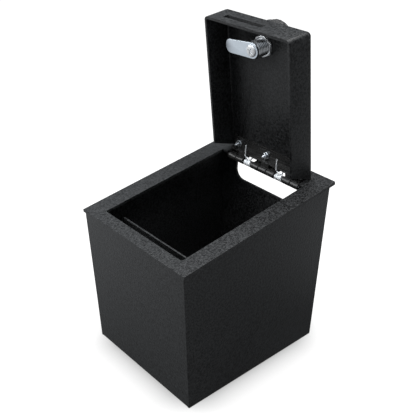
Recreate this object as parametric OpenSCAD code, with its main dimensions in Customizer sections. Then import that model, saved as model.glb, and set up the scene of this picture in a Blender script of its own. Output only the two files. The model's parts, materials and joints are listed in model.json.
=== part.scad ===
// Console safe: a welded steel box with a sloping rim and a spring-hinged
// lid that drops into the rim and is held by a cam lock.
// Millimetres. +Z is up, +Y is towards the hinge, and the origin is on the
// floor, in the middle of the rim's footprint. The lid stands open.

/* [Box] */
// Width across the rim
rim_w = 160; // [150:1:200]
// Depth of the rim, measured along its slope
rim_d = 200.8; // [190:0.1:260]
// Height of the rim's front edge above the floor
front_h = 159.9; // [100:0.1:220]
// Slope of the rim, rising towards the hinge, in degrees
rim_slope = 7.5; // [0:0.1:12]
// Thickness of the walls, floor, rim and lid plate
plate_t = 2.7; // [2:0.1:3.2]
// How far the rim stands out past the left wall
side_lip = 3.2; // [0:0.1:8]
// How far the rim stands out past the rear wall
rear_lip = 8.6; // [4:0.1:9]
// How far each side wall leans in at the floor
side_taper = 2.3; // [0:0.1:6]
// How far the front wall leans in at the floor
front_taper = 5.9; // [0:0.1:12]
// How far the rear wall leans in at the floor
rear_taper = 8.4; // [0:0.1:12]

/* [Rim opening] */
// Rim band along the front
band_front = 13.6; // [11:0.1:16]
// Rim band along the left side
band_left = 21; // [16:0.1:22]
// Rim band along the right side
band_right = 19.6; // [16:0.1:20]
// Rim band behind the hinge
band_rear = 14.4; // [12:0.1:15]
// Rear edge of the opening, in front of the hinge axis
opening_back = 2.7; // [1:0.1:6]
// Corner radius of the opening
opening_r = 2.5; // [1:0.1:6]

/* [Rear window] */
// Width of the window in the rear wall
window_w = 108; // [60:1:110]
// Height of the window
window_h = 32; // [26:0.1:60]
// Steel left between the window and the rim
window_head = 5; // [4:0.5:7]
// Radius of the window's lower corners
window_r = 11; // [6:0.5:12]
// Radius of the window's upper corners
window_top_r = 4; // [2:0.5:5]

/* [Floor mounting holes] */
// Hole diameter, for M6 screws
mount_d = 6.6; // [5:0.1:9]
// Hole spacing across the box
mount_x = 90; // [60:1:110]
// Hole spacing from front to rear
mount_y = 110; // [80:1:130]

/* [Lid] */
// Width of the lid pan
lid_w = 114.5; // [108:0.1:115]
// How much each side of the lid spreads from its front edge to the hinge
lid_flare = 1; // [0:0.1:1.2]
// Gap between the lid's front edge and the opening, when shut
lid_front_gap = 1.4; // [1.2:0.1:4]
// Depth of the lid pan over its flanges
lid_depth = 30.8; // [28:0.1:32]
// Height of the shut lid's face above the rim
lid_proud = 9.3; // [8.6:0.1:10]
// Outside radius of the lid's bends and corners
lid_bend = 4.5; // [4:0.1:7]
// Gap between the hinge axis and the lid's rear edge
lid_rear_gap = 6.5; // [6:0.1:8]
// Extra cut at the free edge of the side flanges
flange_cut = 12.9; // [0:0.1:16]
// Angle from shut to fully open
open_angle = 91.6; // [91:0.1:92]

/* [Lid slot for the cam] */
// Length of the slot in the lid's front flange
slot_l = 52.4; // [44:0.1:60]
// Width of the slot
slot_w = 5.8; // [5:0.1:8]
// Middle of the slot, from the cam's middle towards the flange's free edge
slot_offset = -0.4; // [-0.6:0.1:1.4]
// Middle of the slot, left of the lid's middle
slot_left = 13.5; // [10:0.1:18]

/* [Hinge] */
// Hinge axis below the rim's top face
hinge_drop = 5.3; // [5:0.1:5.6]
// Hinge axis in front of the rim band behind it
hinge_set = 10.5; // [10.2:0.1:11]
// Middle of the hinge, right of the rim's middle
hinge_right = 1.4; // [0:0.1:2.6]
// Knuckle diameter
knuckle_d = 7.4; // [7:0.1:8]
// Pin diameter
pin_d = 4; // [3.4:0.1:4.2]
// Length of one of the nine stations along the hinge
station_l = 11.55; // [11:0.05:11.6]
// Thickness of the hinge leaves
leaf_t = 1.5; // [1.2:0.1:1.6]
// Height of the lid leaf above the hinge axis
leaf_h = 20; // [18:0.1:24]
// Height of the bolt row above the hinge axis
bolt_row = 11.6; // [11.2:0.1:14]
// Spacing of the three bolts
bolt_pitch = 41.6; // [34:0.1:44]
// Middle bolt, left of the lid's middle
bolt_left = 4.1; // [0:0.1:6]
// Bolt diameter
bolt_d = 3; // [2.5:0.5:3]

/* [Springs] */
// Wire diameter of the torsion springs
wire_d = 1.2; // [1:0.1:1.2]
// Height of the spring's upper leg above the hinge axis
leg_h = 18.8; // [14:0.1:22]
// How far behind the hinge axis the upper leg starts
leg_back = 0.6; // [0:0.1:2.6]
// Room beside the coil at its left end
leg_room = 0.8; // [0.6:0.1:3]
// Whole turns in each spring
spring_turns = 5; // [3:1:5]

/* [Lock] */
// Lock axis, left of the lid's middle
lock_left = 3.2; // [0:0.1:6]
// Lock axis, back from the lid's front edge
lock_back = 26.9; // [25:0.1:30]
// Diameter of the threaded barrel
barrel_d = 18; // [16:0.1:18]
// Width of the barrel nut across its flats
nut_af = 20.6; // [20:0.1:22]
// Height of the barrel nut
nut_h = 3; // [2.5:0.1:4]
// Diameter of the collar on the lid's face
collar_d = 44; // [40:0.5:46]
// Height of the collar
collar_h = 12.3; // [12:0.1:15]
// Diameter of the turning knob
knob_d = 41; // [36:0.5:44]
// Height of the knob
knob_h = 5.9; // [5:0.1:8]
// Groove between the collar and the knob
knob_gap = 1; // [0.6:0.1:2]
// Grip flutes around the knob
knob_flutes = 24; // [12:1:36]

/* [Cam] */
// Cam length from the lock axis to its tip
cam_l = 36.8; // [32:0.1:38]
// Cam width at the lock
cam_w = 16.2; // [14:0.1:17]
// Cam width at the tip
cam_tip_w = 14.3; // [13.6:0.1:14.5]
// Cam thickness
cam_t = 2.4; // [2:0.1:2.6]
// Height of the cam above the lid plate's inner face
cam_rise = 15; // [13:0.1:15.2]
// Droop of the unlocked cam below level, in degrees
cam_droop = 4.2; // [0:0.1:6]

/* [Latch channel] */
// Distance of the channel's upright from the rim's front edge
channel_y = 27.6; // [25:0.1:30]
// Top of the upright below the rim's top face
channel_top = 12; // [11:0.1:14]
// Thickness of the channel
channel_t = 2; // [1.5:0.1:2.5]
// Length of the channel
channel_l = 103; // [80:1:103]

/* [Hidden] */

$fn = 64;
black = [0.16, 0.16, 0.17];
zinc = [0.78, 0.80, 0.82];
steel = [0.62, 0.63, 0.65];

// Clearances
run_clear = 0.05;      // a turning shaft in its bore, on the radius
fit_clear = 0.1;       // a fixed shank in its hole, on the radius
knuckle_clear = 1;     // between neighbouring knuckles
leaf_clear = 0.6;      // between a leaf's edge and the other leaf's knuckle
notch_clear = 1;       // between the ends of the hinge and the sides of its notch
coil_clear = 0.25;     // between the spring and the pin, on the radius
leg_clear = 0.1;       // between a spring leg and the leaf it bears on
turn_clear = 0.6;      // between the coil and the wire that runs along it
stop_clear = 0.1;      // between the open lid's leaf and the rim
rest_clear = 0.3;      // between the shut lid's flange and the latch channel
past = 1;              // how far a cutting shape runs past the cut face
clear_off = 50;        // well outside the walls
far = 400;             // larger than the whole safe

// The box in the world frame
rim_run = rim_d * cos(rim_slope) + plate_t * sin(rim_slope);
front_y = -rim_run / 2;
left_x = -rim_w / 2 + side_lip;
right_x = rim_w / 2;
wall_d = (rim_d - rear_lip) * cos(rim_slope);
rear_y = front_y + wall_d;
rear_h = front_h + (rim_d - rear_lip) * sin(rim_slope);
top_z = rear_h + 20;

// The rim's own frame: y along the slope from its front edge, z off its face
hinge_y = rim_d - band_rear - hinge_set;
notch_y = rim_d - band_rear;
opening_x0 = -rim_w / 2 + band_left;
opening_x1 = rim_w / 2 - band_right;
stations = 9;
hinge_l = stations * station_l;
hinge_x0 = hinge_right - hinge_l / 2;
hinge_x1 = hinge_right + hinge_l / 2;
BOX_STATIONS = [0, 3, 5, 8];
LID_STATIONS = [1, 4, 7];
SPRING_STATIONS = [2, 6];

// The lid's own frame: origin on the hinge axis, y behind it, z up the lid
lean = open_angle - 90;
face_b = lid_proud + hinge_drop;
panel_b = face_b - plate_t;
edge_b = face_b - lid_depth;
lid_top = hinge_y - band_front - lid_front_gap;
knuckle_r = knuckle_d / 2;
coil_r = (pin_d + wire_d) / 2 + coil_clear;
arm_b = knuckle_r - leaf_t;
web_b = coil_r + wire_d / 2 + leg_clear;
web_v = (hinge_drop + stop_clear + panel_b * sin(lean)) / cos(lean);
leaf_b = panel_b - leaf_t;
leaf_w = lid_w - 2 * lid_bend - 2 * fit_clear;
washer_t = 0.5;
bolt_nut_h = 2.4;
bolt_nut_af = 5.5;
bolt_tip = 3.5;
bolt_head_h = 1.8;
bolt_head_d = 6;

// The lock: heights along its axis, from the lid's face outwards
lock_v = lid_top - lock_back;
inner_s = -plate_t;
nut_turn = 37;
cam_s = inner_s - cam_rise;
barrel_s = cam_s + run_clear;
head_h = 3;
head_d = 26;
head_s = 6;
knob_s = collar_h + knob_gap;
spindle_d = 9;
hub_d = 14;
square_w = 7;
screw_d = 4;
screw_head_d = 9.6;
screw_head_h = 2.4;
core_d = 12;
core_ring_d = 8;
core_ring_w = 1.6;
core_ring_h = 4;
key_tab_l = 1.4;
key_tab_w = 1.6;
pin_count = 7;
pin_spot_d = 1.1;

// The latch channel: its floor is the shut lid's rest
channel_floor = hinge_drop - edge_b + rest_clear;

echo(overall_depth = rim_run, hinge_axis_world = hinge_world(), lock_world = lock_world());
echo(spring_least_gap = least_gap(spring_path(0), 5));

// World place of a point in the rim's frame
function rim_point(p) = [
    p[0],
    front_y + p[1] * cos(rim_slope) - p[2] * sin(rim_slope),
    front_h + p[1] * sin(rim_slope) + p[2] * cos(rim_slope)
];
function hinge_world() = rim_point([0, hinge_y, -hinge_drop]);
function lid_point(p) = rim_point([
    p[0],
    hinge_y + p[1] * cos(lean) + p[2] * sin(lean),
    -hinge_drop - p[1] * sin(lean) + p[2] * cos(lean)
]);
function lock_world() = lid_point([-lock_left, face_b, lock_v]);

module on_rim() {
    translate([0, front_y, front_h]) rotate([rim_slope, 0, 0]) children();
}

module on_hinge() {
    on_rim() translate([0, hinge_y, -hinge_drop]) children();
}

module on_lid() {
    on_hinge() rotate([-lean, 0, 0]) children();
}

// Lock frame: z runs out of the lid's face, along the lock axis
module on_lock() {
    on_lid() translate([-lock_left, face_b, lock_v]) rotate([-90, 0, 0]) children();
}

// A cylinder along the hinge axis, over one run of x
module axle(d, x0, x1) {
    translate([x0, 0, 0]) rotate([0, 90, 0]) cylinder(d = d, h = x1 - x0);
}

// A ring or tube standing on z0
module tube(d_out, d_in, z0, z1) {
    difference() {
        translate([0, 0, z0]) cylinder(d = d_out, h = z1 - z0);
        translate([0, 0, z0 - past]) cylinder(d = d_in, h = z1 - z0 + 2 * past);
    }
}

// A rectangle whose corners are true arcs
module round_rect(x0, y0, x1, y1, r) {
    translate([x0 + r, y0]) square([x1 - x0 - 2 * r, y1 - y0]);
    translate([x0, y0 + r]) square([x1 - x0, y1 - y0 - 2 * r]);
    for (x = [x0 + r, x1 - r], y = [y0 + r, y1 - r])
        translate([x, y]) circle(r = r);
}

// Start of hinge station i, counted from the left
function station_x(i) = hinge_x0 + i * station_l;

// Outer faces of the leaning walls at a height above the floor
function front_at(z) = front_y + front_taper * (1 - z / front_h);
function rear_at(z) = rear_y - rear_taper * (1 - z / rear_h);
function left_at(z) = left_x + side_taper * (1 - z / rear_h);
function right_at(z) = right_x - side_taper * (1 - z / rear_h);

// The space inside the leaning walls, drawn in by [left, right, front, rear, floor]
module wall_space(inset) {
    low = inset[4];
    intersection() {
        rotate([90, 0, 90]) translate([0, 0, -far / 2]) linear_extrude(far) polygon([
            [front_at(low) + inset[2], low],
            [front_at(top_z) + inset[2], top_z],
            [rear_at(top_z) - inset[3], top_z],
            [rear_at(low) - inset[3], low]
        ]);
        rotate([90, 0, 0]) translate([0, 0, -far / 2]) linear_extrude(far) polygon([
            [left_at(low) + inset[0], low],
            [left_at(top_z) + inset[0], top_z],
            [right_at(top_z) - inset[1], top_z],
            [right_at(low) - inset[1], low]
        ]);
    }
}

// Everything under the rim plate
module below_rim() {
    on_rim() translate([-far / 2, -far / 2, -far - plate_t]) cube([far, 2 * far, far]);
}

// The room inside the five plates, up to the rim's underside
module inner_space() {
    intersection() {
        wall_space([plate_t, plate_t, plate_t, plate_t, plate_t]);
        below_rim();
    }
}

// One wall plate: the walls' space less the same space drawn in on one side
module wall_plate(keep, cut) {
    difference() {
        intersection() {
            wall_space(keep);
            below_rim();
        }
        wall_space([for (c = cut) c == 0 ? -clear_off : c]);
    }
}

module floor_plate() {
    color(black) difference() {
        wall_plate([plate_t, plate_t, plate_t, plate_t, 0], [0, 0, 0, 0, plate_t]);
        for (x = [-1, 1], y = [-1, 1])
            translate([x * mount_x / 2, y * mount_y / 2, -past])
                cylinder(d = mount_d, h = plate_t + 2 * past);
    }
}

module front_wall() {
    color(black) wall_plate([plate_t, plate_t, 0, 0, 0], [0, 0, plate_t, 0, 0]);
}

module rear_wall() {
    window_z1 = rear_h - plate_t - window_head;
    window_z0 = window_z1 - window_h;
    x0 = hinge_right - window_w / 2;
    x1 = hinge_right + window_w / 2;
    color(black) difference() {
        wall_plate([plate_t, plate_t, 0, 0, 0], [0, 0, 0, plate_t, 0]);
        translate([0, rear_y + past, 0]) rotate([90, 0, 0]) linear_extrude(4 * rear_taper + far / 20) {
            round_rect(x0, window_z0, x1, window_z1 - window_r / 2, window_r);
            round_rect(x0, window_z0 + window_r, x1, window_z1, window_top_r);
        }
    }
}

module left_wall() {
    color(black) wall_plate([0, 0, 0, 0, 0], [plate_t, 0, 0, 0, 0]);
}

module right_wall() {
    color(black) wall_plate([0, 0, 0, 0, 0], [0, plate_t, 0, 0, 0]);
}

// Flat ring with a notch for the hinge: ground flush with the front and right walls
module rim_frame() {
    color(black) intersection() {
        on_rim() translate([0, 0, -plate_t]) linear_extrude(plate_t) difference() {
            round_rect(-rim_w / 2, -plate_t, rim_w / 2 + plate_t, rim_d, 1);
            round_rect(opening_x0, band_front, opening_x1, hinge_y - opening_back, opening_r);
            round_rect(hinge_x0 - notch_clear, hinge_y - opening_back - 3 * opening_r,
                hinge_x1 + notch_clear, notch_y, opening_r);
        }
        wall_space([-clear_off, 0, 0, -clear_off, -clear_off]);
    }
}

// Angle behind the front rim: the lid's flange drops in front of its upright
module latch_channel() {
    color(black) intersection() {
        on_rim() translate([-channel_l / 2, 0, 0]) {
            translate([0, channel_y, -channel_floor - channel_t])
                cube([channel_l, channel_t, channel_floor + channel_t - channel_top]);
            translate([0, -far / 10, -channel_floor - channel_t])
                cube([channel_l, channel_y + channel_t + far / 10, channel_t]);
        }
        inner_space();
    }
}

// Leaf under the rear rim band, with four knuckles
module hinge_box_leaf() {
    spring_cut = notch_y - hinge_y - leg_clear;
    color(black) difference() {
        union() {
            intersection() {
                on_hinge() translate([hinge_x0, 0, hinge_drop - plate_t - leaf_t])
                    cube([hinge_l, far / 10, leaf_t]);
                inner_space();
            }
            on_hinge() for (i = BOX_STATIONS) knuckle(i);
        }
        on_hinge() {
            for (i = LID_STATIONS) station_cut(i, knuckle_r + leaf_clear);
            for (i = SPRING_STATIONS) station_cut(i, spring_cut);
            pin_bore();
        }
    }
}

module pin_bore() {
    axle(pin_d + 2 * run_clear, hinge_x0 - past, hinge_x1 + past);
}

// One knuckle, a little shorter than its station
module knuckle(i) {
    axle(knuckle_d, station_x(i) + knuckle_clear / 2, station_x(i + 1) - knuckle_clear / 2);
}

// Clears one station of the leaf, back to a distance behind the axis
module station_cut(i, back) {
    translate([station_x(i) - knuckle_clear / 2, -far / 10, -knuckle_d])
        cube([station_l + knuckle_clear, far / 10 + back, 2 * knuckle_d]);
}

module hinge_pin() {
    head_t = 0.8;
    head_over = 1.4;
    color(steel) on_hinge() {
        axle(pin_d, hinge_x0 - head_t, hinge_x1 + head_t);
        axle(pin_d + head_over, hinge_x0 - head_t, hinge_x0);
        axle(pin_d + head_over, hinge_x1, hinge_x1 + head_t);
    }
}

// Cranked leaf: it stands up behind its knuckles, runs back over the rim and
// lies on the lid's inner face
module hinge_lid_leaf() {
    color(black) on_lid() difference() {
        union() {
            translate([-leaf_w / 2, web_b, web_v]) cube([leaf_w, panel_b - web_b, leaf_t]);
            translate([-leaf_w / 2, leaf_b, web_v]) cube([leaf_w, leaf_t, leaf_h - web_v]);
            for (i = LID_STATIONS) {
                knuckle(i);
                leaf_arm(i);
            }
        }
        pin_bore();
        at_bolts() translate([0, 0, -far / 2]) cylinder(d = bolt_d + 2 * fit_clear, h = far);
    }
}

// Stretch of the lid leaf between one knuckle and the rest of the leaf
module leaf_arm(i) {
    translate([station_x(i) + knuckle_clear / 2, arm_b, 0])
        cube([station_l - knuckle_clear, leaf_t, web_v + leaf_t]);
}

// Bolt frame: z runs out of the lid's face
module at_bolts() {
    for (i = [-1:1])
        translate([i * bolt_pitch - bolt_left, face_b, bolt_row]) rotate([-90, 0, 0]) children();
}

// Solid block with the pan's bends, drawn in on every bent side
module pan_block(inset) {
    sides = 32;
    r = lid_bend - inset;
    x = lid_w / 2 - lid_bend;
    rear_x = x + lid_flare;
    b = face_b - lid_bend;
    v = lid_top - lid_bend;
    low = edge_b - past;
    hull() {
        for (side = [-1, 1]) {
            translate([side * x, b, v]) sphere(r = r / cos(180 / sides), $fn = sides);
            translate([side * x, low, v]) rotate([-90, 0, 0]) cylinder(r = r, h = past, $fn = sides);
            translate([side * rear_x, b, 0]) cylinder(r = r, h = past, $fn = sides);
            translate([side * (rear_x + r / 2) - r / 2, low, 0]) cube([r, past, past]);
        }
    }
}

module lid_pan() {
    slot_b = panel_b - cam_rise - cam_t / 2 - slot_offset;
    color(black) on_lid() difference() {
        pan_block(0);
        pan_block(plate_t);
        // The free edge of the flanges
        translate([-far / 2, edge_b - far, -past]) cube([far, far, far]);
        // The rear edge of the panel and the slanted ends of the side flanges
        rotate([90, 0, 90]) translate([0, 0, -far / 2]) linear_extrude(far) polygon([
            [face_b + past, -2 * past],
            [face_b + past, lid_rear_gap],
            [panel_b, lid_rear_gap],
            [edge_b - past, lid_rear_gap + flange_cut],
            [edge_b - past, -2 * past]
        ]);
        // Slot in the front flange, where the cam swings out
        translate([-slot_left - slot_l / 2, slot_b - slot_w / 2, lid_top - 2 * plate_t])
            cube([slot_l, slot_w, 4 * plate_t]);
        translate([-lock_left, face_b, lock_v]) rotate([-90, 0, 0]) translate([0, 0, -2 * plate_t])
            cylinder(d = barrel_d + 2 * fit_clear, h = 4 * plate_t);
        at_bolts() translate([0, 0, -2 * plate_t])
            cylinder(d = bolt_d + 2 * fit_clear, h = 4 * plate_t);
    }
}

module leaf_bolts() {
    shank = plate_t + leaf_t + washer_t + bolt_nut_h + bolt_tip;
    color(zinc) on_lid() at_bolts() {
        translate([0, 0, -shank]) cylinder(d = bolt_d, h = shank + bolt_head_h / 2);
        cylinder(d = bolt_head_d, h = bolt_head_h / 2);
        translate([0, 0, bolt_head_h / 2])
            cylinder(d1 = bolt_head_d, d2 = bolt_head_d * 0.6, h = bolt_head_h / 2);
    }
}

module leaf_washers() {
    top = -plate_t - leaf_t;
    color(zinc) on_lid() at_bolts() tube(bolt_nut_af + 2, bolt_d + 2 * fit_clear, top - washer_t, top);
}

module leaf_nuts() {
    top = -plate_t - leaf_t - washer_t;
    color(zinc) on_lid() at_bolts() hex_nut(bolt_nut_af, bolt_d + 2 * fit_clear, top - bolt_nut_h, top);
}

// Hexagon nut between two heights, by its width across flats
module hex_nut(af, bore, z0, z1) {
    difference() {
        translate([0, 0, z0]) cylinder(d = af / cos(30), h = z1 - z0, $fn = 6);
        translate([0, 0, z0 - past]) cylinder(d = bore, h = z1 - z0 + 2 * past);
    }
}

// Spring wire: its upper leg stands against the lid leaf, runs along the coil to
// the coil's far end, winds back round the pin and ends under the box leaf
function spring_path(x0) =
    let (
        run_r = coil_r + wire_d + turn_clear,
        run_a = 40,
        bend = 1.5 * wire_d,
        xa = x0 + wire_d / 2 + leg_clear,
        xl = x0 + leg_room + wire_d / 2,
        xr = x0 + station_l - wire_d / 2,
        end_b = rim_d - rear_lip - plate_t - hinge_y - 2 * wire_d,
        under_v = hinge_drop - plate_t - leaf_t - wire_d / 2 - leg_clear,
        rise = atan2(under_v - end_b * sin(lean) + coil_r, end_b),
        turn_in = 85,
        sweep = 360 * spring_turns + 270 + rise - run_a - turn_in,
        steps = ceil(sweep / 45)
    )
    concat(
        [[xa, coil_r, leg_h], [xa, (coil_r + leg_back) / 2, (leg_h + run_r + bend) / 2],
            [xa, leg_back, run_r + bend]],
        [for (t = [0.25:0.25:1])
            [xa + bend * (1 - cos(90 * t)), leg_back + (run_r * cos(run_a) - leg_back) * t,
                run_r * sin(run_a) + (run_r * (1 - sin(run_a)) + bend) * (1 - sin(90 * t))]],
        [[xr - bend, run_r * cos(run_a), run_r * sin(run_a)]],
        [for (t = [0.2:0.2:0.8])
            let (r = run_r + (coil_r - run_r) * t * t, a = run_a + turn_in * t)
            [xr - bend * (1 - sin(90 * t)), r * cos(a), r * sin(a)]],
        [for (i = [0:steps])
            let (t = i / steps, a = run_a + turn_in + sweep * t)
            [xr + (xl - xr) * t, coil_r * cos(a), coil_r * sin(a)]],
        [for (l = [end_b / 2, end_b - wire_d, end_b])
            [xl, l * cos(rise) + coil_r * sin(rise), l * sin(rise) - coil_r * cos(rise)]]
    );

// Least clear distance between stretches of the wire that aren't neighbours
function least_gap(path, skip) =
    min([for (i = [0:len(path) - 1 - skip], j = [i + skip:len(path) - 1]) norm(path[i] - path[j])]) - wire_d;

function unit(v) = v / norm(v);
function across(v, t) = unit(v - (v * t) * t);

// A round wire through the points of a path: one closed tube of triangles
module wire(path, d, sides) {
    last = len(path) - 1;
    tangents = [for (i = [0:last]) unit(path[min(i + 1, last)] - path[max(i - 1, 0)])];
    normals = [for (i = 0, n = across([1, 0, 0], tangents[0]); i <= last;
        i = i + 1, n = across(n, tangents[min(i, last)])) n];
    rings = [for (i = [0:last], k = [0:sides - 1])
        let (a = 360 * k / sides)
        path[i] + d / 2 * (normals[i] * cos(a) + cross(tangents[i], normals[i]) * sin(a))];
    skin = [for (i = [0:last - 1], k = [0:sides - 1])
        let (a = i * sides + k, b = i * sides + (k + 1) % sides)
        each [[a, a + sides, b + sides], [a, b + sides, b]]];
    start = [for (k = [1:sides - 2]) [0, k, k + 1]];
    end = [for (k = [1:sides - 2]) [last * sides, last * sides + k + 1, last * sides + k]];
    polyhedron(points = rings, faces = concat(skin, start, end));
}

module spring(station) {
    color(zinc) on_lid() wire(spring_path(station_x(station)), wire_d, 6);
}

module left_spring() {
    spring(SPRING_STATIONS[0]);
}

module right_spring() {
    spring(SPRING_STATIONS[1]);
}

// Round housing that carries the barrel's head on the lid's face
module lock_collar() {
    edge = 1.2;
    color(black) on_lock() difference() {
        union() {
            cylinder(d = collar_d, h = collar_h - edge);
            translate([0, 0, collar_h - edge]) cylinder(d1 = collar_d, d2 = collar_d - 2 * edge, h = edge);
        }
        translate([0, 0, -past]) cylinder(d = barrel_d + 2 * fit_clear, h = collar_h);
        translate([0, 0, head_s]) cylinder(d = head_d + 2 * fit_clear, h = collar_h);
    }
}

module lock_barrel() {
    color(steel) on_lock() difference() {
        union() {
            translate([0, 0, barrel_s]) cylinder(d = barrel_d, h = head_s - barrel_s);
            translate([0, 0, head_s]) cylinder(d = head_d, h = head_h);
        }
        translate([0, 0, barrel_s - past])
            cylinder(d = spindle_d + 2 * run_clear, h = head_s + head_h - barrel_s + 2 * past);
    }
}

module lock_nut() {
    color(zinc) on_lock() rotate([0, 0, nut_turn])
        hex_nut(nut_af, barrel_d + 2 * fit_clear, inner_s - nut_h, inner_s);
}

module lock_knob() {
    edge = 1;
    flute_d = 4;
    flute_depth = 0.7;
    color(black) on_lock() difference() {
        union() {
            translate([0, 0, knob_s]) cylinder(d = knob_d, h = knob_h - edge);
            translate([0, 0, knob_s + knob_h - edge]) cylinder(d1 = knob_d, d2 = knob_d - 2 * edge, h = edge);
            translate([0, 0, head_s + head_h + run_clear])
                cylinder(d = hub_d, h = knob_s - head_s - head_h);
        }
        for (i = [0:knob_flutes - 1])
            rotate([0, 0, 360 * i / knob_flutes])
                translate([(knob_d + flute_d) / 2 - flute_depth, 0, knob_s - past])
                    cylinder(d = flute_d, h = knob_h + 2 * past, $fn = 24);
        translate([0, 0, head_s]) cylinder(d = core_d + 2 * fit_clear, h = far / 10);
    }
}

// Round lock core with the ring-shaped keyway
module key_core() {
    top = knob_s + knob_h;
    ring_z = top - core_ring_h;
    low = knob_s - 1;
    color(steel) on_lock() difference() {
        translate([0, 0, low]) cylinder(d = core_d, h = top - low);
        tube(core_ring_d + core_ring_w, core_ring_d - core_ring_w, ring_z, top + past);
        translate([core_ring_d / 2, -key_tab_w / 2, ring_z]) cube([key_tab_l, key_tab_w, core_ring_h + past]);
    }
}

module key_pins() {
    ring_z = knob_s + knob_h - core_ring_h;
    color(zinc) on_lock() for (i = [0:pin_count - 1])
        rotate([0, 0, 360 * (i + 0.5) / pin_count]) translate([core_ring_d / 2, 0, ring_z])
            cylinder(d = pin_spot_d, h = core_ring_h - 1, $fn = 24);
}

// Spindle from the knob to the cam, square where the cam sits on it
module lock_spindle() {
    square_s = cam_s - cam_t + run_clear;
    color(steel) on_lock() difference() {
        union() {
            translate([0, 0, cam_s]) cylinder(d = spindle_d, h = knob_s - 1 - cam_s);
            translate([-square_w / 2, -square_w / 2, square_s]) cube([square_w, square_w, cam_s - square_s]);
            translate([0, 0, head_s + head_h + run_clear])
                cylinder(d = core_d, h = knob_s - 1 - head_s - head_h - run_clear);
        }
        translate([0, 0, square_s - past]) cylinder(d = screw_d + 2 * fit_clear, h = 9 + past);
    }
}

// Flat cam with a square hole and a rounded tip
module cam() {
    tip_r = 6.4;
    color(zinc) on_lock() rotate([0, 0, 180 - cam_droop]) translate([0, 0, cam_s - cam_t])
        linear_extrude(cam_t) difference() {
            union() {
                circle(d = cam_w);
                polygon([
                    [0, -cam_w / 2], [cam_l - tip_r, -cam_tip_w / 2],
                    [cam_l - tip_r, cam_tip_w / 2], [0, cam_w / 2]
                ]);
                translate([cam_l - tip_r, 0]) square([2 * tip_r, cam_tip_w - 2 * tip_r], center = true);
                for (side = [-1, 1])
                    translate([cam_l - tip_r, side * (cam_tip_w / 2 - tip_r)]) circle(r = tip_r);
            }
            rotate(cam_droop) square(square_w + 2 * fit_clear, center = true);
        }
}

module cam_screw() {
    head_s0 = cam_s - cam_t - screw_head_h;
    slot = 1.4;
    color(zinc) on_lock() difference() {
        union() {
            translate([0, 0, head_s0 + 0.6]) cylinder(d = screw_head_d, h = screw_head_h - 0.6);
            translate([0, 0, head_s0]) cylinder(d1 = screw_head_d - 2, d2 = screw_head_d, h = 0.6);
            translate([0, 0, cam_s - cam_t]) cylinder(d = screw_d, h = 7);
        }
        for (a = [0, 90])
            rotate([0, 0, a]) translate([-screw_head_d / 4, -slot / 2, head_s0 - past])
                cube([screw_head_d / 2, slot, past + 1.4]);
    }
}

floor_plate();
front_wall();
rear_wall();
left_wall();
right_wall();
rim_frame();
latch_channel();
hinge_box_leaf();
hinge_pin();
hinge_lid_leaf();
left_spring();
right_spring();
lid_pan();
leaf_bolts();
leaf_washers();
leaf_nuts();
lock_collar();
lock_barrel();
lock_nut();
lock_knob();
key_core();
key_pins();
lock_spindle();
cam();
cam_screw();
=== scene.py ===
"""Looks of the console safe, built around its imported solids.

The steel box, the lid and the hinge leaves are the solids' own shapes with
their edges rounded. The springs, the threads, the nuts and the lock's outer
parts are modelled here. Blender's lengths are metres. A name that ends in _mm
holds millimetres, as do the profiles and the points of the wires.
"""

import json
import logging
import math
from dataclasses import dataclass, field
from enum import Enum
from typing import Callable, Iterable, Sequence

import bmesh
import bpy
from mathutils import Matrix, Vector
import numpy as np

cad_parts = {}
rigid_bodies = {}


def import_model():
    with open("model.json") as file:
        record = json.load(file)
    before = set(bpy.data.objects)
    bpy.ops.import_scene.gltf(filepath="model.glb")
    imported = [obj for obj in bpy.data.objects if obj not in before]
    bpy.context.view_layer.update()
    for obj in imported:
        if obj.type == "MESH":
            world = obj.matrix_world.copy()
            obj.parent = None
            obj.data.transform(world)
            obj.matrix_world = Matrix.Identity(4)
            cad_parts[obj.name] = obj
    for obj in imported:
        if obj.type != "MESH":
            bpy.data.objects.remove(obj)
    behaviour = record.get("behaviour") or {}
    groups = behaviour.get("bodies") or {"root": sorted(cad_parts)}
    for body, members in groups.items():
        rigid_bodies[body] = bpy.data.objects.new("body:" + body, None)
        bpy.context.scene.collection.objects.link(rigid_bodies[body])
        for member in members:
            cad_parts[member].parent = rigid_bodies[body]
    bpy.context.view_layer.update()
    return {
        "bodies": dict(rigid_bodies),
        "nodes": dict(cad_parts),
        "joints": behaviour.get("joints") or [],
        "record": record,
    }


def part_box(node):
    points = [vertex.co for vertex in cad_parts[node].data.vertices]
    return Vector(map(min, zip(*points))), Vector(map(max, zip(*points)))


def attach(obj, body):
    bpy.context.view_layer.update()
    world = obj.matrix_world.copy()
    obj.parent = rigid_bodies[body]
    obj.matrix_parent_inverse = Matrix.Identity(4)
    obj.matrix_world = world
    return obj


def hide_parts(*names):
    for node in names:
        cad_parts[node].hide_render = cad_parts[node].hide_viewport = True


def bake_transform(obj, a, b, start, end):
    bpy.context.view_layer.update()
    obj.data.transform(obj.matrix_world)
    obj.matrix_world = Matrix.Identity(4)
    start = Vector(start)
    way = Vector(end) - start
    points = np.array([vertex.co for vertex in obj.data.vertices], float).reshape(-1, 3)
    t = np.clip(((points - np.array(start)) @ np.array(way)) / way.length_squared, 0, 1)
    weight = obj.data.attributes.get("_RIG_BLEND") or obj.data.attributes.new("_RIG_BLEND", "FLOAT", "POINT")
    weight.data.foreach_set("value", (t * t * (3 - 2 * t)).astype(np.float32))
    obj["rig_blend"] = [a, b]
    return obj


LOG = logging.getLogger("console_safe")
MM = 0.001
QUARTER = math.pi / 2
NUT_TIP_MM = 0.05
NUT_FACE_SHARE = 0.97
Colour = tuple[float, float, float, float]
Triple = tuple[float, float, float]
Span = tuple[float, float]
Profile = list[Span]
Pick = Callable[[Vector, Vector], bool]


# Materials


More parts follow.
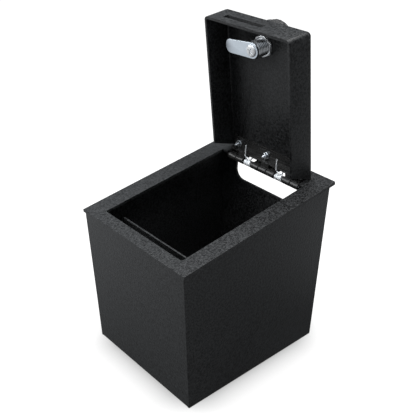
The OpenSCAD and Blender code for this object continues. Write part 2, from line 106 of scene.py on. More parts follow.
class Link:
    """A shader socket that takes part in Python sums."""

    def __init__(self, maker: "NodeMaker", socket: bpy.types.NodeSocket) -> None:
        """Wraps one socket.

        Args:
            maker: The maker whose tree holds the socket.
            socket: The socket.
        """
        self.maker = maker
        self.socket = socket

    def _math(self, operation: str, first: object, second: object) -> "Link":
        """Adds one Math node and returns its result."""
        return self.maker.add("ShaderNodeMath", {"operation": operation}, {0: first, 1: second})

    def __add__(self, other: object) -> "Link":
        """Sum."""
        return self._math("ADD", self, other)

    def __radd__(self, other: object) -> "Link":
        """Sum, reflected."""
        return self._math("ADD", other, self)

    def __sub__(self, other: object) -> "Link":
        """Difference."""
        return self._math("SUBTRACT", self, other)

    def __rsub__(self, other: object) -> "Link":
        """Difference, reflected."""
        return self._math("SUBTRACT", other, self)

    def __mul__(self, other: object) -> "Link":
        """Product."""
        return self._math("MULTIPLY", self, other)

    def __rmul__(self, other: object) -> "Link":
        """Product, reflected."""
        return self._math("MULTIPLY", other, self)


def grey(value: float, warmth: float = 0.0) -> Colour:
    """Returns a linear grey, a little blue where warmth is below zero."""
    return (value * (1 + warmth), value, value * (1 - warmth), 1.0)


def swing(noise: Link, width: float) -> Link:
    """Centres a noise on zero and spreads it over a width."""
    return (noise - 0.5) * width


class NodeMaker:
    """Builds the node tree of a material or of the world."""

    def __init__(self, name: str, world: bpy.types.World | None = None) -> None:
        """Starts an empty tree.

        Args:
            name: The new material's name.
            world: A world whose tree is built instead of a material's.
        """
        self.owner = world or bpy.data.materials.new(name)
        self.owner.use_nodes = True
        self.tree = self.owner.node_tree
        self.tree.nodes.clear()

    def add(
        self,
        kind: str,
        settings: dict[str, object] | None = None,
        inputs: dict[int | str, object] | None = None,
        output: int | str = 0,
    ) -> Link:
        """Adds a node.

        Args:
            kind: The node's type.
            settings: Properties set before its sockets.
            inputs: A value or a Link for each socket.
            output: Which output to return.

        Returns:
            The chosen output. For a node without outputs, its first input.
        """
        node = self.tree.nodes.new(kind)
        for key, value in (settings or {}).items():
            setattr(node, key, value)
        for key, value in (inputs or {}).items():
            if isinstance(value, Link):
                self.tree.links.new(value.socket, node.inputs[key])
            else:
                node.inputs[key].default_value = value
        return Link(self, node.outputs[output] if node.outputs else node.inputs[0])

    def place(self) -> Link:
        """Returns the point on the surface, in the object's own metres."""
        return self.add("ShaderNodeTexCoord", output="Object")

    def noise(self, scale: float, detail: float = 2.0, rough: float = 0.5) -> Link:
        """Adds a noise.

        Args:
            scale: Cells per metre.
            detail: Octaves.
            rough: Strength of the finer octaves.

        Returns:
            The noise, from 0 to 1.
        """
        return self.add(
            "ShaderNodeTexNoise",
            {"noise_dimensions": "3D"},
            {"Vector": self.place(), "Scale": scale, "Detail": detail, "Roughness": rough},
        )

    def cells(self, scale: float, softness: float = 0.6) -> Link:
        """Adds many soft-edged cells.

        Args:
            scale: Cells per metre.
            softness: How far neighbouring cells melt together.

        Returns:
            The distance to the nearest cell's middle.
        """
        return self.add(
            "ShaderNodeTexVoronoi",
            {"feature": "SMOOTH_F1"},
            {"Vector": self.place(), "Scale": scale, "Smoothness": softness},
            "Distance",
        )

    def between(self, factor: Link, first: Colour, second: Colour) -> Link:
        """Mixes two colours.

        Args:
            factor: The share of the second colour.
            first: The colour at 0.
            second: The colour at 1.

        Returns:
            The mixed colour.
        """
        return self.add(
            "ShaderNodeMix", {"data_type": "RGBA"}, {0: factor, 6: first, 7: second}, output=2
        )

    def bump(self, height: Link, strength: float, depth_mm: float) -> Link:
        """Adds a relief.

        Args:
            height: The relief's height, from 0 to 1.
            strength: How much of it shows.
            depth_mm: Its depth.

        Returns:
            The bent normal.
        """
        inputs = {"Strength": strength, "Distance": depth_mm * MM, "Height": height}
        return self.add("ShaderNodeBump", inputs=inputs)

    def ramp(self, value: Link, start: Span, levels: Span, kind: str = "LINEAR") -> Link:
        """Maps a value to a level that stays the same past both ends.

        Args:
            value: The value.
            start: Where the first and the last level are reached.
            levels: The first and the last level.
            kind: The way from one to the other.

        Returns:
            The level.
        """
        ends = {"From Min": start[0], "From Max": start[1]}
        ends |= {"To Min": levels[0], "To Max": levels[1]}
        return self.add("ShaderNodeMapRange", {"interpolation_type": kind}, {"Value": value} | ends)

    def vector(
        self,
        operation: str,
        first: object,
        second: object = (0.0, 0.0, 0.0),
        output: int | str = 0,
    ) -> Link:
        """Adds one Vector Math node.

        Args:
            operation: What it works out.
            first: The first vector.
            second: The second vector, where the operation has one.
            output: Which output to return.

        Returns:
            The result.
        """
        inputs = {0: first, 1: second}
        return self.add("ShaderNodeVectorMath", {"operation": operation}, inputs, output)

    def tinted(self, colour: Colour, level: Link) -> Link:
        """Returns a colour times a level."""
        return self.add(
            "ShaderNodeVectorMath", {"operation": "SCALE"}, {0: colour[:3], "Scale": level}
        )

    def finish(self, **sockets: object) -> bpy.types.Material:
        """Ends the tree with a Principled shader.

        Args:
            sockets: The shader's inputs, with underscores for spaces.

        Returns:
            The material.
        """
        inputs = {key.replace("_", " "): value for key, value in sockets.items()}
        shader = self.add("ShaderNodeBsdfPrincipled", inputs=inputs)
        self.add("ShaderNodeOutputMaterial", inputs={"Surface": shader})
        return self.owner


@dataclass(frozen=True)
class PowderCoat:
    """Fine-textured black powder coat on steel plate.

    A scale is in cells per metre, and a spread is how far a noise moves a value.
    """

    name: str
    relief: float = 1.0
    depth_mm: float = 0.3
    tone: float = 0.014
    dark: float = 0.1
    light: float = 2.2
    blue: float = 0.04
    roughness: float = 0.44
    gloss: float = 0.24
    grain_scale: float = 480.0
    fine_scale: float = 1104.0
    pebble_scale: float = 432.0
    cloud_scale: float = 24.0
    colour_spread: Triple = (4.0, 2.0, 0.4)
    height_share: Triple = (0.6, 0.5, 0.25)
    rough_spread: Span = (0.45, 0.1)

    def build(self) -> bpy.types.Material:
        """Builds the coat.

        Returns:
            The finished material.
        """
        m = NodeMaker(self.name)
        grain = m.noise(self.grain_scale, detail=3.0, rough=0.6)
        fine = m.noise(self.fine_scale)
        pebble = m.cells(self.pebble_scale)
        cloud = m.noise(self.cloud_scale, detail=3.0, rough=0.55)
        spread = self.colour_spread
        speckle = swing(grain, spread[0]) + swing(fine, spread[1]) + swing(cloud, spread[2]) + 0.5
        dark, light = (grey(self.tone * level, -self.blue) for level in (self.dark, self.light))
        share = self.height_share
        height = grain * share[0] + pebble * share[1] + fine * share[2]
        by_grain, by_cloud = self.rough_spread
        return m.finish(
            Base_Color=m.between(speckle, dark, light),
            Roughness=self.roughness + swing(cloud, by_cloud) + swing(grain, by_grain),
            Specular_IOR_Level=self.gloss,
            Normal=m.bump(height, self.relief, self.depth_mm),
        )


@dataclass(frozen=True)
class BrightZinc:
    """Bright zinc plate with a fine grain and faint clouding."""

    name: str
    tone: float
    roughness: float
    metallic: float = 1.0
    relief: float = 0.03
    depth_mm: float = 0.03
    blue: float = 0.03
    dark: float = 0.86
    light: float = 1.1
    cloud_scale: float = 420.0
    fine_scale: float = 3600.0
    rough_spread: Span = (0.08, 0.16)

    def build(self) -> bpy.types.Material:
        """Builds the coat.

        Returns:
            The finished material.
        """
        m = NodeMaker(self.name)
        cloud = m.noise(self.cloud_scale, detail=3.0, rough=0.6)
        fine = m.noise(self.fine_scale, rough=0.6)
        dark, light = (grey(self.tone * level, -self.blue) for level in (self.dark, self.light))
        by_fine, by_cloud = self.rough_spread
        return m.finish(
            Base_Color=m.between(cloud, dark, light),
            Metallic=self.metallic,
            Roughness=self.roughness + swing(cloud, by_cloud) + swing(fine, by_fine),
            Normal=m.bump(fine, self.relief, self.depth_mm),
        )


@dataclass(frozen=True)
class BlackLacquer:
    """Smooth satin black over metal, with faint handling marks."""

    name: str
    tone: float
    roughness: float
    gloss: float = 0.5
    relief: float = 0.15
    depth_mm: float = 0.04
    dark: float = 0.75
    light: float = 1.4
    cloud_scale: float = 380.0
    fine_scale: float = 2600.0
    rough_spread: float = 0.18

    def build(self) -> bpy.types.Material:
        """Builds the coat.

        Returns:
            The finished material.
        """
        m = NodeMaker(self.name)
        cloud = m.noise(self.cloud_scale, detail=4.0, rough=0.6)
        fine = m.noise(self.fine_scale)
        dark, light = (grey(self.tone * level) for level in (self.dark, self.light))
        return m.finish(
            Base_Color=m.between(cloud, dark, light),
            Roughness=self.roughness + swing(cloud, self.rough_spread),
            Specular_IOR_Level=self.gloss,
            Normal=m.bump(fine, self.relief, self.depth_mm),
        )


class Finish(Enum):
    """The finishes of the safe: the record's material slot and the coat."""

    BOX = "box_steel", PowderCoat("box_powder_coat")
    LID = "lid_steel", PowderCoat("lid_powder_coat", relief=0.8)
    HINGE = "hinge_steel", BlackLacquer("hinge_black", tone=0.024, roughness=0.26, gloss=0.3)
    PIN = "pin_steel", BrightZinc("pin_steel", tone=0.4, roughness=0.35, relief=0.12)
    SPRING = "spring_zinc", BrightZinc(
        "spring_wire", tone=1.0, roughness=0.42, metallic=0.42, relief=0.02
    )
    # Near-white, almost non-metallic zinc: its colour is a painted highlight on the bolts' domed ends.
    BOLT = "bolt_zinc", BrightZinc("bolt_zinc", tone=1.0, roughness=0.34, metallic=0.1)
    NUT = "bolt_zinc", BrightZinc("nut_zinc", tone=0.72, roughness=0.3)
    LOCK_NUT = "lock_zinc", BrightZinc("lock_nut_zinc", tone=0.95, roughness=0.26, metallic=0.4)
    # Near-white, almost non-metallic zinc: its colour is a painted highlight on the cam screw's dome.
    SCREW = "lock_zinc", BrightZinc("screw_zinc", tone=1.0, roughness=0.34, metallic=0.1)
    LOCK_BLACK = "lock_black", BlackLacquer("lock_black", tone=0.018, roughness=0.3)
    NICKEL = "lock_steel", BrightZinc("lock_nickel", tone=0.5, roughness=0.24)
    # A darker copy of the lock steel: painted shade on the barrel and its threads.
    THREAD = "lock_steel", BrightZinc("thread_dark", tone=0.26, roughness=0.2, metallic=0.8)
    CAM = "lock_zinc", BrightZinc("cam_zinc", tone=0.62, roughness=0.36, relief=0.12, blue=0.08)

    @property
    def slot(self) -> str:
        """The record's slot name."""
        return self.value[0]

    def material(self) -> bpy.types.Material:
        """Returns the finish's material, made once."""
        found = bpy.data.materials.get(self.value[1].name)
        return found or self.value[1].build()


# Modelling


def deselect() -> None:
    """Leaves edit mode and selects nothing."""
    if bpy.context.mode != "OBJECT":
        bpy.ops.object.mode_set(mode="OBJECT")
    bpy.ops.object.select_all(action="DESELECT")


def alone(obj: bpy.types.Object) -> None:
    """Selects one object and nothing else."""
    deselect()
    obj.select_set(True)
    bpy.context.view_layer.objects.active = obj


def add_to_scene(name: str, data: bpy.types.ID) -> bpy.types.Object:
    """Makes an object of some data and links it to the scene.

    Args:
        name: The object's name.
        data: Its mesh, curve, lamp or camera.

    Returns:
        The object.
    """
    obj = bpy.data.objects.new(name, data)
    bpy.context.scene.collection.objects.link(obj)
    return obj


def apply_modifier(obj: bpy.types.Object, kind: str, **settings: object) -> bpy.types.Object:
    """Adds a modifier with its settings and applies it.

    Args:
        obj: The piece.
        kind: The modifier's type.
        settings: Its properties.

    Returns:
        The piece.
    """
    alone(obj)
    modifier = obj.modifiers.new(kind.lower(), kind)
    for key, value in settings.items():
        setattr(modifier, key, value)
    bpy.ops.object.modifier_apply(modifier=modifier.name)
    return obj


def settle(obj: bpy.types.Object, to: Matrix | None = None) -> bpy.types.Object:
    """Puts a piece's place into its mesh and leaves its object at the origin.

    Args:
        obj: The piece.
        to: A placing that its mesh is moved by after that.

    Returns:
        The piece.
    """
    alone(obj)
    bpy.ops.object.transform_apply(location=True, rotation=True, scale=True)
    if to is not None:
        obj.data.transform(to)
    obj.data.update()
    return obj


def merge(pieces: Sequence[bpy.types.Object], name: str) -> bpy.types.Object:
    """Joins pieces into the first one.

    Args:
        pieces: The pieces.
        name: The joined piece's name.

    Returns:
        The joined piece.
    """
    alone(pieces[0])
    for piece in pieces[1:]:
        piece.select_set(True)
    if len(pieces) > 1:
        bpy.ops.object.join()
    pieces[0].name = name
    pieces[0].data.name = name
    return pieces[0]


def smooth(obj: bpy.types.Object, degrees: float = 32.0) -> bpy.types.Object:
    """Smooths the shading except across sharp edges.

    Args:
        obj: The piece.
        degrees: The least angle of a sharp edge.

    Returns:
        The piece.
    """
    alone(obj)
    bpy.ops.object.shade_smooth_by_angle(angle=math.radians(degrees))
    return obj


def tidy_mesh(obj: bpy.types.Object, gap: float = 2e-6, degrees: float = 0.4) -> None:
    """Merges loose triangles and joins those that lie in one plane.

    Args:
        obj: The piece.
        gap: How near two points are merged, in metres.
        degrees: The largest angle within one plane.
    """
    alone(obj)
    bpy.ops.object.mode_set(mode="EDIT")
    bpy.ops.mesh.select_all(action="SELECT")
    bpy.ops.mesh.remove_doubles(threshold=gap)
    bpy.ops.mesh.dissolve_limited(angle_limit=math.radians(degrees))
    bpy.ops.object.mode_set(mode="OBJECT")


def fix_order(obj: bpy.types.Object) -> None:
    """Writes a mesh's faces in one order, because spin gives them in another each run.

    Args:
        obj: The piece, in object mode.
    """
    mesh = obj.data
    points = [tuple(vertex.co) for vertex in mesh.vertices]
    faces = []
    for corners in (list(polygon.vertices) for polygon in mesh.polygons):
        first = corners.index(min(corners))
        faces.append(corners[first:] + corners[:first])
    mesh.clear_geometry()
    mesh.from_pydata(points, [], sorted(faces))
    mesh.update()


def spin_profile(name: str, points: Profile, steps: int) -> bpy.types.Object:
    """Turns a closed profile about Z.

    Args:
        name: The piece's name.
        points: Radius and height of each corner, in order.
        steps: Facets around.

    Returns:
        The turned piece.
    """
    deselect()
    bpy.ops.mesh.primitive_circle_add(vertices=len(points), radius=1.0, fill_type="NOTHING")
    obj = bpy.context.object
    obj.name = name
    for vertex, (radius, height) in zip(obj.data.vertices, points):
        vertex.co = Vector((max(radius, 0.0) * MM, 0.0, height * MM))
    bpy.ops.object.mode_set(mode="EDIT")
    bpy.ops.mesh.select_all(action="SELECT")
    bpy.ops.mesh.spin(
        steps=steps, angle=math.tau, center=(0, 0, 0), axis=(0, 0, 1), use_auto_merge=True
    )
    bpy.ops.mesh.select_all(action="SELECT")
    bpy.ops.mesh.remove_doubles(threshold=1e-6)
    bpy.ops.mesh.delete_loose(use_verts=True, use_edges=True, use_faces=False)
    bpy.ops.mesh.select_all(action="SELECT")
    bpy.ops.mesh.normals_make_consistent(inside=False)
    bpy.ops.object.mode_set(mode="OBJECT")
    fix_order(obj)
    return obj


def rounded(radius: float, height: float, turn: float, steps: int = 4) -> Profile:
    """Returns an outer corner's rounding, from the side up to the top.

    Args:
        radius: Radius of the side.
        height: Height of the top.
        turn: Rounding radius.
        steps: Facets of the rounding.

    Returns:
        Profile points.
    """
    angles = [QUARTER * i / steps for i in range(steps + 1)]
    return [
        (radius - turn + turn * math.cos(a), height - turn + turn * math.sin(a)) for a in angles
    ]


def cut(obj: bpy.types.Object, tool: bpy.types.Object, inside: bool = False) -> None:
    """Cuts a tool's shape out of a piece and removes the tool.

    Args:
        obj: The piece.
        tool: The tool.
        inside: Whether to keep what lies in the tool instead.
    """
    operation = "INTERSECT" if inside else "DIFFERENCE"
    apply_modifier(obj, "BOOLEAN", operation=operation, object=tool, solver="EXACT")
    bpy.data.objects.remove(tool)


def hex_nut(name: str, flats: float, bore: float, ends: Span, chamfer: float) -> bpy.types.Object:
    """Builds a hexagon nut whose corners are turned off on both faces.

    Args:
        name: The piece's name.
        flats: Width across flats, in millimetres.
        bore: Bore radius.
        ends: Lower and upper face.
        chamfer: Height of the turned-off corners.

    Returns:
        The nut.
    """
    low, high = ends
    corner = flats / math.sqrt(3)
    deselect()
    bpy.ops.mesh.primitive_cylinder_add(
        vertices=6,
        radius=corner * MM,
        depth=(high - low) * MM,
        location=(0, 0, (low + high) / 2 * MM),
    )
    obj = settle(bpy.context.object)
    obj.name = name
    tip, face = corner + NUT_TIP_MM, flats / 2 * NUT_FACE_SHARE
    half = [(0.0, low), (face, low), (tip, low + chamfer)]
    cone = half + [(r, low + high - z) for r, z in reversed(half)]
    cut(obj, spin_profile(f"{name}_cone", cone, steps=64), inside=True)
    drill = [(0.0, low - 1), (bore, low - 1), (bore, high + 1), (0.0, high + 1)]
    cut(obj, spin_profile(f"{name}_drill", drill, steps=40))
    return obj


# Sub-assemblies


@dataclass
class Placing:
    """The planes that the safe is built on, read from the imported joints."""

    hinge: Vector
    lock: Vector
    out: Vector

    @classmethod
    def read(cls, joints: Iterable[dict]) -> "Placing":
        """Finds the hinge, the lock and the lid's outward direction.

        Args:
            joints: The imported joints.

        Returns:
            The placing.
        """
        by_name = {joint["name"]: joint for joint in joints}
        return cls(
            Vector(by_name["lid_hinge"]["pos_m"]),
            Vector(by_name["lock_turn"]["pos_m"]),
            Vector(by_name["lock_turn"]["axis"]).normalized(),
        )

    @property
    def lid(self) -> Matrix:
        """The lid frame, on the hinge axis.

        Returns:
            A placing whose x runs across, y out of the lid's back and z up the lid.
        """
        up = Vector((1, 0, 0)).cross(self.out)
        turn = Matrix((Vector((1, 0, 0)), self.out, up)).transposed().to_4x4()
        return Matrix.Translation(self.hinge) @ turn

    @property
    def lock_face(self) -> Matrix:
        """The lock frame, on the lid's outer face.

        Returns:
            A placing whose z runs out of the lid on the lock axis.
        """
        across = Vector((1, 0, 0))
        turn = Matrix((across, self.out.cross(across), self.out)).transposed().to_4x4()
        return Matrix.Translation(self.lock) @ turn


@dataclass
class Assembly:
    """What every sub-assembly shares."""

    frame: dict
    placing: Placing

    def extent(self, node: str, place: Matrix) -> tuple[Vector, Vector]:
        """Measures a node in the frame of a placing.

        Args:
            node: The CAD node.
            place: The placing.

        Returns:
            Its lowest and highest corner, in millimetres.
        """
        inverse = place.inverted()
        points = [inverse @ vertex.co / MM for vertex in self.frame["nodes"][node].data.vertices]
        low = Vector([min(point[axis] for point in points) for axis in range(3)])
        high = Vector([max(point[axis] for point in points) for axis in range(3)])
        return low, high

    def dress(self, obj: bpy.types.Object, finish: Finish) -> bpy.types.Object:
        """Gives a piece one finish all over.

        Args:
            obj: The piece.
            finish: Its finish.

        Returns:
            The piece.
        """
        obj.data.materials.clear()
        obj.data.materials.append(finish.material())
        for polygon in obj.data.polygons:
            polygon.material_index = 0
        return obj

    def mount(self, obj: bpy.types.Object, finish: Finish, body: str, *nodes: str) -> None:
        """Dresses a piece, seats it on a body and hides the nodes it stands for.

        Args:
            obj: The piece, in place.
            finish: Its finish.
            body: The body that it moves with.
            nodes: The CAD nodes that it replaces.
        """
        self.dress(obj, finish)
        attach(obj, body)
        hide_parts(*nodes)
        LOG.info("%s rides on %s", obj.name, body)

    def keep(self, node: str, finish: Finish) -> None:
        """Keeps a CAD node's own shape and gives it a finish.

        Args:
            node: The CAD node.
            finish: Its finish.
        """
        self.dress(self.frame["nodes"][node], finish)
        LOG.info("%s keeps its own shape", node)

    def soften(
        self,
        node: str,
        name: str,
        radius: float,
        pick: Pick | None = None,
        angle: float = 30.0,
        segments: int = 3,
    ) -> bpy.types.Object:
        """Copies a CAD node and rounds its sharp edges.

        Args:
            node: The node to copy.
            name: The new piece's name.
            radius: Rounding, in millimetres.
            pick: Which edges are rounded, by their middle and direction. All if left out.
            angle: The least angle, in degrees, that counts as an edge.
            segments: Facets of the rounding.

        Returns:
            The new piece.
        """
        obj = add_to_scene(name, self.frame["nodes"][node].data.copy())
        tidy_mesh(obj)
        self.round_edges(obj, radius, pick, angle, segments)
        return smooth(obj)

    def round_edges(
        self,
        obj: bpy.types.Object,
        radius: float,
        pick: Pick | None = None,
        angle: float = 30.0,
        segments: int = 3,
    ) -> None:
        """Bevels the picked sharp edges of a piece by their weight.

        Args:
            obj: The piece.
            radius: Rounding, in millimetres.
            pick: Which edges are rounded, by their middle and direction. All if left out.
            angle: The least angle, in degrees, that counts as an edge.
            segments: Facets of the rounding.
        """
        mesh = bmesh.new()
        mesh.from_mesh(obj.data)
        layers = mesh.edges.layers.float
        weight = layers.get("bevel_weight_edge") or layers.new("bevel_weight_edge")
        for edge in mesh.edges:
            sharp = len(edge.link_faces) == 2 and edge.calc_face_angle(0) > math.radians(angle)
            middle = (edge.verts[0].co + edge.verts[1].co) / 2
            along = edge.verts[1].co - edge.verts[0].co
            chosen = sharp and edge.is_convex and (pick is None or pick(middle, along))
            edge[weight] = 1.0 if chosen else 0.0
        mesh.to_mesh(obj.data)
        mesh.free()
        apply_modifier(
            obj,
            "BEVEL",
            width=radius * MM,
            segments=segments,
            limit_method="WEIGHT",
            harden_normals=False,
            miter_outer="MITER_ARC",
        )


@dataclass
class Box(Assembly):
    """The welded steel box with its rim and latch channel.

    The fields after the roundings say how near an edge lies to the face, end
    or plate that it is picked by.
    """

    edge_mm: float = 0.8
    window_edge_mm: float = 0.5
    channel_edge_mm: float = 0.6
    rim_edge_mm: float = 1.0
    lip_edge_mm: float = 0.4
    lip_under_mm: float = 1.6
    rim_corner_mm: float = 2.0

    sole_mm: float = 0.5
    skin_mm: float = 2.6
    wall_end_mm: float = 12.0
    foot_mm: float = 1.3
    sill_mm: float = 60.0
    head_mm: float = 5.0
    jamb_mm: float = 8.0
    near_mm: float = 1.0
    half_plate_mm: float = 1.2
    rim_side_mm: float = 12.0
    rim_end_mm: float = 9.0

    def build(self) -> None:
        """Builds and dresses the box."""
        self.side_walls()
        self.end_walls()
        self.rim()
        self.channel()
        self.keep("floor_plate", Finish.BOX)

    def side_walls(self) -> None:
        """Rounds the outer corners of the left and the right wall."""
        low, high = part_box("right_wall")
        front, rear = low.y + self.wall_end_mm * MM, high.y - self.wall_end_mm * MM
        middle = (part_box("left_wall")[0].x + high.x) / 2
        outside = (high.x - middle) - self.skin_mm * MM

        def corner(at: Vector, along: Vector) -> bool:
            """Picks the outer upright corners and the outer bottom edges."""
            upright = abs(along.z) > abs(along.y) and (at.y < front or at.y > rear)
            return abs(at.x - middle) > outside and (upright or at.z < self.sole_mm * MM)

        for side in ("left", "right"):
            piece = self.soften(f"{side}_wall", f"{side}_wall_plate", self.edge_mm, corner)
            self.mount(piece, Finish.BOX, "box", f"{side}_wall")

    def end_walls(self) -> None:
        """Rounds the lower edges of the front and the rear wall, and the rear window."""
        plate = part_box("floor_plate")
        front, rear = plate[0].y - self.foot_mm * MM, plate[1].y + self.foot_mm * MM

        def foot(at: Vector, along: Vector) -> bool:
            """Picks the outer bottom edge."""
            flat = abs(along.x) > abs(along.y)
            return at.z < self.sole_mm * MM and flat and (at.y < front or at.y > rear)

        piece = self.soften("front_wall", "front_wall_plate", self.edge_mm, foot)
        self.mount(piece, Finish.BOX, "box", "front_wall")
        low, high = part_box("rear_wall")
        left, right = low.x + self.jamb_mm * MM, high.x - self.jamb_mm * MM

        def rear_edges(at: Vector, along: Vector) -> bool:
            """Picks the outer bottom edge and the window's edges."""
            window = self.sill_mm * MM < at.z < high.z - self.head_mm * MM
            return foot(at, along) or (window and left < at.x < right)

        edge = self.window_edge_mm
        piece = self.soften("rear_wall", "rear_wall_plate", edge, rear_edges, angle=20.0)
        self.mount(piece, Finish.BOX, "box", "rear_wall")

    def rim(self) -> None:
        """Rounds the rim: more where it is ground flush with the walls."""
        low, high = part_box("rim_frame")
        near, half = self.near_mm * MM, self.half_plate_mm * MM
        left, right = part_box("left_wall")[0].x - near, high.x - half
        slope = (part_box("right_wall")[1].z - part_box("front_wall")[1].z) / (high.y - low.y)
        side, end = self.rim_side_mm * MM, self.rim_end_mm * MM

        def above(at: Vector) -> bool:
            """Tells whether a point is on the rim's upper half."""
            return at.z > low.z + half + slope * (at.y - low.y)

        def lip(at: Vector) -> bool:
            """Tells whether a point is on the lip past the left or the rear wall."""
            return at.x < left or at.y > high.y - half

        def over_side(at: Vector, along: Vector) -> bool:
            """Tells whether an edge runs along the right wall."""
            return at.x > right and at.y < high.y - near and abs(along.y) > abs(along.x)

        def flush(at: Vector, along: Vector) -> bool:
            """Picks the upper edges over the front and right walls."""
            over_front = at.y < low.y + near and at.x < right
            return above(at) and (over_front or over_side(at, along))

        def others(at: Vector, along: Vector) -> bool:
            """Picks every other edge that shows."""
            across = low.x + side < at.x < high.x - side
            return (across and low.y + end < at.y < high.y - end) or lip(at)

        def corner(at: Vector, along: Vector) -> bool:
            """Picks the upright edge at the rear right."""
            return at.x > right and at.y > high.y - near and abs(along.z) > abs(along.y)

        def under(at: Vector, along: Vector) -> bool:
            """Picks the lower edges of the lip."""
            return not above(at) and lip(at)

        obj = self.soften("rim_frame", "rim_plate", self.rim_corner_mm, corner, segments=6)
        self.round_edges(obj, self.rim_edge_mm, flush, segments=4)
        self.round_edges(obj, self.lip_under_mm, under, angle=20.0)
        self.round_edges(obj, self.lip_edge_mm, others, angle=40.0)
        self.mount(smooth(obj), Finish.BOX, "box", "rim_frame")

    def channel(self) -> None:
        """Rounds the latch channel's edges."""
        obj = self.soften("latch_channel", "latch_channel_angle", self.channel_edge_mm)
        self.mount(obj, Finish.BOX, "box", "latch_channel")


